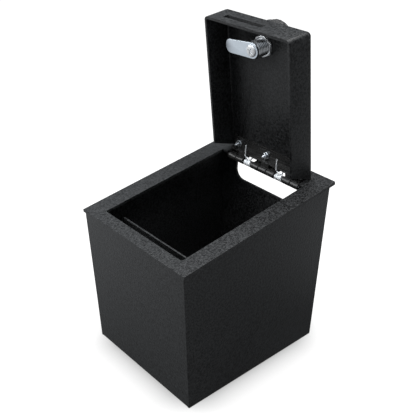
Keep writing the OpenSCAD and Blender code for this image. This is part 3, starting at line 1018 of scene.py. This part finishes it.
@dataclass
class Hinge(Assembly):
    """The two leaves, the knuckles, the pin and the torsion springs.

    A rivet's points run inwards from the head's radius and up from the pin's
    end. The run is the stretch of wire beside the coil. The lower leg's points
    are shares of its length.
    """

    stations: int = 9
    leaf_edge_mm: float = 0.3
    barrel_mm: float = 3.72
    bore_mm: float = 2.1
    knuckle_edge_mm: float = 0.5
    gap_mm: float = 1.0
    pin_mm: float = 2.0
    pin_fit_mm: float = 0.02
    pin_head_mm: float = 0.7
    rivet_mm: tuple[Span, ...] = ((-1.1, 0.0), (-0.2, 0.25), (0.0, 0.55), (-0.05, 0.8))
    rivet_height_mm: float = 0.82

    wire_mm: float = 1.4
    turns: int = 6
    turn_steps: int = 24
    part_turn: float = 0.75
    lower_leg: Triple = (0.3, 0.65, 1.0)
    coil_fit_mm: float = 0.15
    leg_fit_mm: float = 0.1
    leg_room_mm: float = 0.8
    leg_back_mm: float = 0.6
    run_fit_mm: float = 0.7
    run_angle: float = 68.0
    turn_in: float = 85.0
    bend_wires: float = 1.5

    start: float = field(init=False, default=0.0)
    pitch: float = field(init=False, default=0.0)

    def build(self) -> None:
        """Builds and dresses the hinge."""
        low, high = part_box("hinge_box_leaf")
        self.start = low.x / MM
        self.pitch = (high.x - low.x) / MM / self.stations
        self.leaf("hinge_box_leaf", "box_leaf", "box", (0, 3, 5, 8))
        self.leaf("hinge_lid_leaf", "lid_leaf", "lid", (1, 4, 7))
        self.pin()
        self.spring("left_spring", 2)
        self.spring("right_spring", 6)

    def axis(self, x_mm: float) -> Matrix:
        """Returns a placing whose z runs along the hinge axis from a given x."""
        place = Vector((x_mm * MM, self.placing.hinge.y, self.placing.hinge.z))
        return Matrix.Translation(place) @ Matrix.Rotation(QUARTER, 4, "Y")

    def leaf(self, node: str, name: str, body: str, stations: Sequence[int]) -> None:
        """Builds a leaf with its rolled knuckles.

        Args:
            node: The CAD node.
            name: The new piece's name.
            body: The body that it moves with.
            stations: Which stations of the hinge are its knuckles.
        """
        parts = [self.soften(node, name, self.leaf_edge_mm, angle=40.0, segments=2)]
        for index in stations:
            knuckle = spin_profile(f"{name}_knuckle_{index}", self.knuckle_profile(), steps=48)
            parts.append(settle(knuckle, self.axis(self.start + index * self.pitch)))
        self.mount(smooth(merge(parts, name), degrees=28.0), Finish.HINGE, body, node)

    def knuckle_profile(self) -> Profile:
        """Draws a rolled knuckle along one station.

        Returns:
            Its profile.
        """
        low, high = self.gap_mm / 2, self.pitch - self.gap_mm / 2
        side = rounded(self.barrel_mm, high, self.knuckle_edge_mm)
        foot = [(r, low + high - z) for r, z in reversed(side)]
        return [(self.bore_mm, low)] + foot + side + [(self.bore_mm, high)]

    def pin(self) -> None:
        """Builds the pin with its riveted ends."""
        low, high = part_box("hinge_pin")
        half = (high.x - low.x) / 2 / MM
        rod = self.pin_mm - self.pin_fit_mm
        head = rod + self.pin_head_mm
        points = [(0.0, -half)] + [(head + out, rise - half) for out, rise in self.rivet_mm]
        points.append((rod, self.rivet_height_mm - half))
        profile = points + [(r, -z) for r, z in reversed(points)]
        obj = spin_profile("hinge_pin_rod", profile, steps=40)
        settle(obj, self.axis((low.x + high.x) / 2 / MM))
        self.mount(smooth(obj), Finish.PIN, "box", "hinge_pin")

    def spring(self, node: str, station: int) -> None:
        """Winds a torsion spring from the lid leaf to the box leaf.

        The leg and the stretch beside the coil follow the lid. The coil turns
        from the lid at its right end to the box at its left end.

        Args:
            node: The CAD node that it replaces.
            station: Its station on the hinge.
        """
        spot = self.start + station * self.pitch
        left = spot + self.leg_room_mm + self.wire_mm / 2
        right = spot + self.pitch - self.wire_mm / 2
        leg = spot + self.wire_mm / 2 + self.leg_fit_mm
        radius = self.pin_mm + self.wire_mm / 2 + self.coil_fit_mm
        high = self.extent(node, self.placing.lid)[1]
        upper, angle = self.upper_leg(leg, right, radius, high.z)
        lower = self.coil(right, left, radius, angle, high.y)
        upper.append(lower[0])
        self.mount(self.wire(f"{node}_leg", upper), Finish.SPRING, "lid", node)
        obj = self.dress(self.wire(f"{node}_coil", lower), Finish.SPRING)
        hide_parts(node)
        hinge = self.placing.hinge
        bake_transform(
            obj,
            "lid",
            "box",
            start=(right * MM, hinge.y, hinge.z),
            end=(left * MM, hinge.y, hinge.z),
        )
        LOG.info("%s is wound between the lid and the box", obj.name)

    def upper_leg(
        self, leg: float, right: float, coil: float, top: float
    ) -> tuple[list[Vector], float]:
        """Runs the wire down the lid leg, along the coil and into its right end.

        Args:
            leg: Where the leg stands along the hinge.
            right: The coil's right end.
            coil: The coil's radius.
            top: The leg's height.

        Returns:
            The points in the lid frame, and the angle where the coil starts.
        """
        run = coil + self.wire_mm + self.run_fit_mm
        angle, turn_in = math.radians(self.run_angle), math.radians(self.turn_in)
        bend = self.bend_wires * self.wire_mm
        run_b, run_v = run * math.cos(angle), run * math.sin(angle)
        back, knee = self.leg_back_mm, run + bend
        points = [
            Vector((leg, coil, top)),
            Vector((leg, (coil + back) / 2, (top + knee) / 2)),
            Vector((leg, back, knee)),
        ]
        for t in (i / 8 for i in range(1, 9)):
            a = QUARTER * t
            down = run_v + (knee - run_v) * (1 - math.sin(a))
            points.append(Vector((leg + bend * (1 - math.cos(a)), back + (run_b - back) * t, down)))
        points.append(Vector((right - bend, run_b, run_v)))
        for t in (i / 10 for i in range(1, 10)):
            r, a = run + (coil - run) * t * t, angle + turn_in * t
            x = right - bend * (1 - math.sin(QUARTER * t))
            points.append(Vector((x, r * math.cos(a), r * math.sin(a))))
        return points, angle + turn_in

    def coil(
        self, right: float, left: float, radius: float, start: float, reach: float
    ) -> list[Vector]:
        """Winds the coil to its left end and runs the lower leg under the box leaf.

        Args:
            right: The coil's right end.
            left: The coil's left end.
            radius: The coil's radius.
            start: The angle where the coil starts.
            reach: How far back the lower leg goes.

        Returns:
            The points in the lid frame.
        """
        rise = math.atan2(radius, reach)
        sweep = math.tau * (self.turns + self.part_turn) + rise - start
        steps = self.turn_steps * self.turns
        points = []
        for t in (i / steps for i in range(steps + 1)):
            a = start + sweep * t
            x = right + (left - right) * t
            points.append(Vector((x, radius * math.cos(a), radius * math.sin(a))))
        run = Vector((0, math.cos(rise), math.sin(rise))) * (reach - self.wire_mm / 2)
        return points + [points[-1] + run * share for share in self.lower_leg]

    def wire(self, name: str, points: Sequence[Vector]) -> bpy.types.Object:
        """Draws a round wire as a closed mesh.

        Args:
            name: The piece's name, before the word wire.
            points: Its middle line in the lid frame.

        Returns:
            The wire.
        """
        curve = bpy.data.curves.new(f"{name}_wire", "CURVE")
        curve.dimensions = "3D"
        curve.bevel_depth = self.wire_mm / 2 * MM
        curve.bevel_resolution = 3
        curve.use_fill_caps = True
        line = curve.splines.new("POLY")
        line.points.add(len(points) - 1)
        for target, point in zip(line.points, points):
            target.co = (*(self.placing.lid @ (point * MM)), 1.0)
        alone(add_to_scene(f"{name}_wire", curve))
        bpy.ops.object.convert(target="MESH")
        return smooth(bpy.context.object, degrees=50.0)


@dataclass
class Lid(Assembly):
    """The bent lid pan."""

    edge_mm: float = 0.6

    def build(self) -> None:
        """Builds and dresses the lid pan."""
        obj = self.soften("lid_pan", "lid_shell", self.edge_mm, angle=40.0)
        self.mount(smooth(obj, degrees=35.0), Finish.LID, "lid", "lid_pan")


@dataclass
class Fasteners(Assembly):
    """The three bolts that hold the lid leaf, with washers and nuts.

    The pieces are turned with their bolt's axis up and the lid's outer face at
    height 0. A dome's points are shares of the radius, with their heights. The
    head's foot is turned off so far in and so far up, and the washer's edge so
    far at its lower and its upper face.
    """

    bolt_mm: float = 1.5
    fit_mm: float = 0.02
    thread_depth_mm: float = 0.4
    thread_pitch_mm: float = 0.6
    tip_dome: tuple[Span, ...] = ((0.0, 0.0), (0.5, 0.05), (0.85, 0.2), (1.0, 0.45))
    tip_mm: float = 0.9
    head_mm: float = 3.0
    head_edge_mm: float = 0.4
    head_foot_mm: Span = (0.1, 0.15)
    flats_mm: float = 5.5
    chamfer_mm: float = 0.4
    washer_rim_mm: float = 1.0
    washer_bore_mm: float = 0.1
    washer_edge_mm: Span = (0.12, 0.1)
    nut_twist: float = 0.3

    bolt_ends: Span = field(init=False, default=(0.0, 0.0))
    washer_ends: Span = field(init=False, default=(0.0, 0.0))
    nut_ends: Span = field(init=False, default=(0.0, 0.0))

    def build(self) -> None:
        """Builds and dresses the fasteners."""
        lid = self.placing.lid
        face = (lid.inverted() @ self.placing.lock).y / MM
        low, high = self.extent("leaf_bolts", lid)
        self.bolt_ends, self.washer_ends, self.nut_ends = (
            tuple(corner.y - face for corner in self.extent(node, lid))
            for node in ("leaf_bolts", "leaf_washers", "leaf_nuts")
        )
        middle, row = (low.x + high.x) / 2, (low.z + high.z) / 2
        step = (high.x - low.x) / 2 - self.head_mm
        bolts, washers, nuts = [], [], []
        for index in (-1, 0, 1):
            place = lid @ Matrix.Translation(Vector((middle + index * step, face, row)) * MM)
            place = place @ Matrix.Rotation(-QUARTER, 4, "X")
            twist = Matrix.Rotation(self.nut_twist * index, 4, "Z")
            bolts.append(settle(self.bolt(index), place))
            washers.append(settle(self.washer(index), place))
            nuts.append(settle(self.nut(index), place @ twist))
        self.mount(smooth(merge(bolts, "hinge_bolts")), Finish.BOLT, "lid", "leaf_bolts")
        self.mount(smooth(merge(washers, "hinge_washers")), Finish.NUT, "lid", "leaf_washers")
        self.mount(smooth(merge(nuts, "hinge_nuts")), Finish.NUT, "lid", "leaf_nuts")

    def bolt(self, index: int) -> bpy.types.Object:
        """Builds one bolt: a domed head outside the lid and a threaded end inside.

        Args:
            index: The bolt's place in the row.

        Returns:
            The bolt.
        """
        tip, top = self.bolt_ends
        under = self.nut_ends[0]
        r = self.bolt_mm - self.fit_mm
        root, pitch, head = r - self.thread_depth_mm, self.thread_pitch_mm, self.head_mm
        height, edge = tip + self.tip_mm, self.head_edge_mm
        profile = [(r * share, tip + rise) for share, rise in self.tip_dome] + [(root, height)]
        while height + pitch < under:
            profile += [(r, height + pitch / 2), (root, height + pitch)]
            height += pitch
        inset, lift = self.head_foot_mm
        profile += [(r, under), (r, 0.0), (head - inset, 0.0), (head, lift)]
        profile += [
            (head * math.cos(a), edge + (top - edge) * math.sin(a))
            for a in (QUARTER * i / 5 for i in range(5))
        ]
        return spin_profile(f"bolt_{index}", profile + [(0.0, top)], steps=32)

    def washer(self, index: int) -> bpy.types.Object:
        """Builds one flat washer.

        Args:
            index: The washer's place in the row.

        Returns:
            The washer.
        """
        low, high = self.washer_ends
        bore, rim = self.bolt_mm + self.washer_bore_mm, self.flats_mm / 2 + self.washer_rim_mm
        under, over = self.washer_edge_mm
        points = [(bore, low), (rim - under, low), (rim, low + under), (rim, high - over)]
        points += [(rim - over, high), (bore, high)]
        return spin_profile(f"washer_{index}", points, steps=40)

    def nut(self, index: int) -> bpy.types.Object:
        """Builds one hexagon nut with chamfered corners."""
        bore = self.bolt_mm + self.fit_mm
        return hex_nut(f"nut_{index}", self.flats_mm, bore, self.nut_ends, self.chamfer_mm)


@dataclass
class Lock(Assembly):
    """The cam lock: collar, barrel, nut, knob, core and cam.

    Heights are along the lock's axis, with the lid's outer face at 0. The
    collar's step and the dish's side lie so far in from the side at their top
    and at their bottom. The dish's hub has the radii of its bottom and its top.
    The knob's foot is turned off so far in and so far up. A slot of the screw is
    a share of its radius long, then so wide and so deep.
    """

    plate_mm: float = 2.7
    barrel_mm: float = 9.0
    bore_mm: float = 4.55
    thread_depth_mm: float = 0.8
    thread_pitch_mm: float = 2.0
    thread_crest_mm: Span = (0.75, 1.25)
    lead_mm: float = 0.4
    lead_in_mm: float = 0.3
    flange_mm: float = 13.0
    flange_edge_mm: float = 0.5
    seat_mm: float = 6.0
    fit_mm: float = 0.1
    nut_fit_mm: float = 0.05
    nut_chamfer_mm: float = 0.8
    nut_turn: float = 7.0
    collar_edge_mm: float = 1.6
    collar_step_mm: Span = (4.2, 4.8)
    collar_drop_mm: float = 0.8
    neck_mm: float = 7.0
    core_hole_mm: float = 6.1
    knob_gap_mm: float = 1.0
    knob_foot_mm: Span = (1.0, 0.8)
    knob_edge_mm: float = 1.3
    dish_mm: float = 0.7
    dish_side_mm: Span = (3.4, 4.2)
    dish_hub_mm: Span = (9.6, 8.6)
    flutes: int = 24
    flute_mm: float = 2.0
    flute_out_mm: float = 1.3
    flute_long_mm: float = 12.0
    core_edge_mm: float = 0.2
    cam_edge_mm: float = 0.45
    screw_share: float = 1.28
    screw_edge_mm: float = 0.1
    shank_mm: float = 2.0
    screw_dome: tuple[Span, ...] = (
        (0.0, 0.0),
        (0.4, 0.06),
        (0.68, 0.3),
        (0.86, 0.7),
        (0.96, 1.2),
        (1.0, 1.8),
    )
    slot_mm: Triple = (1.15, 1.25, 1.6)
    slot_at_mm: float = 0.7
    slot_turn: float = 0.5

    face: Matrix = field(init=False, default_factory=Matrix)

    def build(self) -> None:
        """Builds and dresses the lock."""
        self.face = self.placing.lock_face
        self.collar()
        self.barrel()
        self.nut()
        self.knob()
        self.core()
        self.cam()
        self.screw()

    def span(self, node: str) -> Span:
        """Returns a node's lowest and highest point along the lock axis, in millimetres."""
        low, high = self.extent(node, self.face)
        return low.z, high.z

    def radius(self, node: str) -> float:
        """Measures how wide a node is about the lock axis.

        Args:
            node: The CAD node.

        Returns:
            Its largest distance from the axis, in millimetres.
        """
        inverse = self.face.inverted()
        vertices = self.frame["nodes"][node].data.vertices
        return max((inverse @ vertex.co).xy.length / MM for vertex in vertices)

    def collar(self) -> None:
        """Turns the round collar on the lid's face."""
        top, radius = self.span("lock_collar")[1], self.radius("lock_collar")
        bore, hollow = self.barrel_mm + self.fit_mm, self.flange_mm + self.fit_mm
        shelf, step = top - self.collar_drop_mm, self.collar_step_mm
        profile = [(bore, 0.0), (radius, 0.0)] + rounded(radius, top, self.collar_edge_mm, steps=5)
        profile += [(radius - step[0], top), (radius - step[1], shelf), (hollow, shelf)]
        profile += [(hollow, self.seat_mm), (bore, self.seat_mm)]
        obj = settle(spin_profile("collar_ring", profile, steps=96), self.face)
        self.mount(smooth(obj), Finish.LOCK_BLACK, "lid", "lock_collar")

    def barrel(self) -> None:
        """Turns the barrel with its threaded length and its flanged head."""
        low, high = self.span("lock_barrel")
        tip, pitch = self.barrel_mm, self.thread_pitch_mm
        root = tip - self.thread_depth_mm
        height = low + self.lead_mm
        profile = [(self.bore_mm, low), (root - self.lead_in_mm, low), (root, height)]
        while height + pitch < -self.plate_mm - self.lead_mm:
            profile += [(tip, height + crest) for crest in self.thread_crest_mm]
            height += pitch
            profile.append((root, height))
        profile += [(tip, -self.plate_mm), (tip, self.seat_mm), (self.flange_mm, self.seat_mm)]
        profile += rounded(self.flange_mm, high, self.flange_edge_mm, steps=3)
        profile.append((self.bore_mm, high))
        obj = settle(spin_profile("barrel_body", profile, steps=80), self.face)
        # The barrel takes the darker copy of the lock steel, a painted shade.
        self.mount(smooth(obj, degrees=24.0), Finish.THREAD, "lid", "lock_barrel")

    def nut(self) -> None:
        """Builds the barrel's hexagon nut."""
        flats = self.radius("lock_nut") * math.sqrt(3)
        bore = self.barrel_mm + self.nut_fit_mm
        obj = hex_nut("barrel_nut", flats, bore, self.span("lock_nut"), self.nut_chamfer_mm)
        settle(obj, self.face @ Matrix.Rotation(math.radians(self.nut_turn), 4, "Z"))
        self.mount(smooth(obj, degrees=24.0), Finish.LOCK_NUT, "lid", "lock_nut")

    def knob(self) -> None:
        """Turns the knob and cuts its flutes."""
        low, high = self.span("lock_knob")
        radius = self.radius("lock_knob")
        base, dish = self.span("lock_collar")[1] + self.knob_gap_mm, high - self.dish_mm
        hole, neck, foot = self.core_hole_mm, self.neck_mm, self.knob_foot_mm
        side, hub = self.dish_side_mm, self.dish_hub_mm
        profile = [(hole, low), (neck, low), (neck, base), (radius - foot[0], base)]
        profile += [(radius, base + foot[1])] + rounded(radius, high, self.knob_edge_mm)
        profile += [(radius - side[0], high), (radius - side[1], dish)]
        profile += [(hub[0], dish), (hub[1], high), (hole, high)]
        obj = spin_profile("knob_disc", profile, steps=144)
        reach, tools = radius + self.flute_out_mm, []
        for angle in (math.tau * index / self.flutes for index in range(self.flutes)):
            deselect()
            bpy.ops.mesh.primitive_cylinder_add(
                vertices=20,
                radius=self.flute_mm * MM,
                depth=self.flute_long_mm * MM,
                location=(reach * math.cos(angle) * MM, reach * math.sin(angle) * MM, high * MM),
            )
            tools.append(settle(bpy.context.object))
        cut(obj, merge(tools, "flute_tools"))
        settle(obj, self.face)
        self.mount(smooth(obj, degrees=30.0), Finish.LOCK_BLACK, "lock_plug", "lock_knob")

    def core(self) -> None:
        """Rounds the key core, and keeps its pins and the spindle."""
        obj = self.soften("key_core", "key_core_face", self.core_edge_mm, angle=40.0, segments=2)
        self.mount(obj, Finish.NICKEL, "lock_plug", "key_core")
        self.keep("key_pins", Finish.CAM)
        self.keep("lock_spindle", Finish.NICKEL)

    def cam(self) -> None:
        """Rounds the cam's stamped edges."""
        obj = self.soften("cam", "cam_plate", self.cam_edge_mm, angle=40.0)
        self.mount(obj, Finish.CAM, "lock_plug", "cam")

    def screw(self) -> None:
        """Turns the cam's domed screw and cuts its cross slot."""
        low, high = self.span("cam_screw")
        r = self.radius("cam_screw") * self.screw_share
        seat, shank, edge = self.span("cam")[0], self.shank_mm, self.screw_edge_mm
        profile = [(r * share, low + rise) for share, rise in self.screw_dome]
        profile += [(r, seat - edge), (r - edge, seat), (shank, seat), (shank, high), (0.0, high)]
        head = spin_profile("cam_screw_head", profile, steps=48)
        for angle in (0.0, QUARTER):
            deselect()
            place = (0, 0, (low + self.slot_at_mm) * MM)
            bpy.ops.mesh.primitive_cube_add(size=1.0, location=place)
            slot = bpy.context.object
            slot.scale = (r * self.slot_mm[0] * MM, self.slot_mm[1] * MM, self.slot_mm[2] * MM)
            slot.rotation_euler = (0, 0, angle + self.slot_turn)
            cut(head, settle(slot))
        settle(head, self.face)
        self.mount(smooth(head, degrees=30.0), Finish.SCREW, "lock_plug", "cam_screw")


# Stage


@dataclass(frozen=True)
class Lamp:
    """One square soft lamp. Place and width are in metres, power in watts."""

    name: str
    place: Triple
    width: float
    power: float

    def build(self, aim: Triple) -> None:
        """Adds the lamp.

        Args:
            aim: The point that it is turned to.
        """
        data = bpy.data.lights.new(self.name, "AREA")
        data.shape = "SQUARE"
        data.size = self.width
        data.energy = self.power
        obj = add_to_scene(self.name, data)
        obj.location = self.place
        turn = (Vector(aim) - Vector(self.place)).to_track_quat("-Z", "Y")
        obj.rotation_euler = turn.to_euler()


@dataclass
class Studio:
    """Floor, sky, soft lamps and the camera.

    The camera sees a white sky and a white floor with a painted shadow round
    the safe. Soft light and reflections get darker ones, which keep the black
    steel black; the floor that reflections see has painted shade near the safe.
    A gloss is the light that reflections see.
    """

    lens_mm: float = 62.816
    eye_mm: Triple = (482.52, -426.97, 522.25)
    right: Triple = (0.659756, 0.751474, 0.003080)
    down: Triple = (0.371193, -0.322319, -0.870819)
    ahead: Triple = (-0.653405, 0.575672, -0.491593)

    floor_width: float = 6.0
    floor_gap_mm: float = 0.2
    floor_white: float = 0.97
    floor_shown: float = 0.2
    floor_bounce: float = 0.12
    wall_mm: float = 2.7
    shade: float = 0.55
    shade_mm: float = 18.0
    shade_core_mm: float = 32.0

    floor_gloss: Span = (0.2, 0.92)
    gloss_middle: Triple = (0.02, 0.04, 0.0)
    gloss_reach: Span = (0.1, 0.4)
    behind: Triple = (0.7, 0.7, 0.0)
    behind_reach: Span = (0.26, 0.5)
    behind_gloss: Span = (1.0, 0.44)
    floor_blue: float = 0.03

    sky: float = 0.25
    sky_gloss: Span = (0.12, 0.95)
    sky_rise: Span = (0.0, 0.75)
    sky_depth: Span = (0.2, 0.44)
    sky_depth_gloss: Span = (1.75, 0.25)
    sky_blue: float = 0.07

    aim: Triple = (0.0, 0.0, 0.15)
    lamps: tuple[Lamp, ...] = (
        Lamp("top_panel", (0.03, 0.1, 1.3), 1.0, 22.0),
        Lamp("front_panel", (-0.85, -0.85, 0.85), 0.9, 11.0),
    )

    def build(self) -> None:
        """Builds the stage."""
        self.camera()
        self.floor()
        self.world()
        for lamp in self.lamps:
            lamp.build(self.aim)
        bpy.context.scene.view_settings.view_transform = "Standard"

    def camera(self) -> None:
        """Adds the camera at the photograph's viewpoint."""
        data = bpy.data.cameras.new("camera")
        data.lens = self.lens_mm
        data.sensor_width = 36.0
        data.clip_start = 0.01
        obj = add_to_scene("camera", data)
        right, down, ahead = Vector(self.right), Vector(self.down), Vector(self.ahead)
        turn = Matrix((right, -down, -ahead)).transposed().to_4x4()
        obj.matrix_world = Matrix.Translation(Vector(self.eye_mm) * MM) @ turn
        bpy.context.scene.camera = obj

    def floor(self) -> None:
        """Adds a white floor: a faint share of it takes the safe's real soft shadow, and a painted shadow
        darkens its glow round the safe.
        """
        deselect()
        bpy.ops.mesh.primitive_plane_add(
            size=self.floor_width, location=(0, 0, -self.floor_gap_mm * MM)
        )
        obj = settle(bpy.context.object)
        obj.name = "floor"
        m = NodeMaker("floor_white")
        bounce = m.add("ShaderNodeBsdfDiffuse", inputs={"Color": grey(self.floor_bounce)})
        surface = self.split(m, bounce, self.floor_mirrored(m), self.floor_seen(m))
        m.add("ShaderNodeOutputMaterial", inputs={"Surface": surface})
        obj.data.materials.append(m.owner)

    def floor_seen(self, m: NodeMaker) -> Link:
        """Makes the floor that the camera sees, whose glow darkens towards the safe's walls as a painted
        shadow.

        The painted shadow grows from a core inside the footprint, so it is weaker at the corners.

        Args:
            m: The floor's maker.

        Returns:
            The shader.
        """
        low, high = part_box("floor_plate")
        grow = (self.wall_mm - self.shade_core_mm) * MM
        middle, half = (low + high) / 2, (high - low) / 2 + Vector((grow, grow, 1.0))
        # Painted shadow: the floor's glow is lowered near the safe's walls, whatever the lamps do.
        aside = m.vector("ABSOLUTE", m.vector("SUBTRACT", m.place(), middle))
        outside = m.vector("MAXIMUM", m.vector("SUBTRACT", aside, half))
        steps = m.vector("LENGTH", outside, output="Value") * (-1.0 / (self.shade_mm * MM))
        fade = m.add("ShaderNodeMath", {"operation": "EXPONENT"}, {0: steps})
        depth = self.shade * math.exp(self.shade_core_mm / self.shade_mm)
        level = m.add(
            "ShaderNodeMath", {"operation": "MAXIMUM"}, {0: self.floor_white - fade * depth, 1: 0.0}
        )
        shown = m.add("ShaderNodeBsdfDiffuse", inputs={"Color": grey(self.floor_shown)})
        glow = m.add("ShaderNodeEmission", inputs={"Color": m.tinted(grey(1.0), level)})
        return m.add("ShaderNodeAddShader", inputs={0: shown, 1: glow})

    def floor_mirrored(self, m: NodeMaker) -> Link:
        """Makes the floor that reflections see: painted shade darkens it near the safe, and it is dim behind
        it on the right.

        Args:
            m: The floor's maker.

        Returns:
            The shader.
        """
        away = m.vector("DISTANCE", m.place(), self.gloss_middle, "Value")
        behind = m.vector("DOT_PRODUCT", m.place(), self.behind, "Value")
        # Painted shade: reflections see the floor darker near the safe.
        level = m.ramp(away, self.gloss_reach, self.floor_gloss)
        dim = m.ramp(behind, self.behind_reach, self.behind_gloss, "SMOOTHSTEP")
        colour = m.tinted(grey(1.0, -self.floor_blue), level * dim)
        return m.add("ShaderNodeEmission", inputs={"Color": colour})

    def world(self) -> None:
        """Makes a dim even sky that is white to the camera."""
        world = bpy.data.worlds.new("studio_sky")
        bpy.context.scene.world = world
        m = NodeMaker("studio_sky", world)
        sky = m.add("ShaderNodeBackground", inputs={"Color": grey(self.sky)})
        way = m.add("ShaderNodeTexCoord", output="Generated")
        back, up = (m.add("ShaderNodeSeparateXYZ", inputs={0: way}, output=axis) for axis in (1, 2))
        level = m.ramp(up, self.sky_rise, self.sky_gloss)
        depth = m.ramp(back, self.sky_depth, self.sky_depth_gloss)
        colour = m.tinted(grey(1.0, -self.sky_blue), level * depth)
        wall = m.add("ShaderNodeBackground", inputs={"Color": colour})
        white = m.add("ShaderNodeBackground", inputs={"Color": grey(1.0)})
        m.add("ShaderNodeOutputWorld", inputs={"Surface": self.split(m, sky, wall, white)})

    @staticmethod
    def split(m: NodeMaker, diffuse: Link, mirrored: Link, seen: Link) -> Link:
        """Gives soft light, reflections and the camera a shader each.

        Args:
            m: The maker.
            diffuse: The shader that soft light sees.
            mirrored: The shader that reflections see.
            seen: The shader that the camera sees.

        Returns:
            The three in one shader.
        """
        glossy = m.add("ShaderNodeLightPath", output="Is Glossy Ray")
        unseen = m.add("ShaderNodeMixShader", inputs={0: glossy, 1: diffuse, 2: mirrored})
        direct = m.add("ShaderNodeLightPath", output="Is Camera Ray")
        return m.add("ShaderNodeMixShader", inputs={0: direct, 1: unseen, 2: seen})


def main() -> None:
    """Builds the safe and its stage."""
    logging.basicConfig(level=logging.INFO, format="%(message)s")
    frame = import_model()
    placing = Placing.read(frame["joints"])
    for part in (Box, Hinge, Lid, Fasteners, Lock):
        part(frame, placing).build()
        LOG.info("%s done", part.__name__)
    Studio().build()


if __name__ == "__main__":
    main()
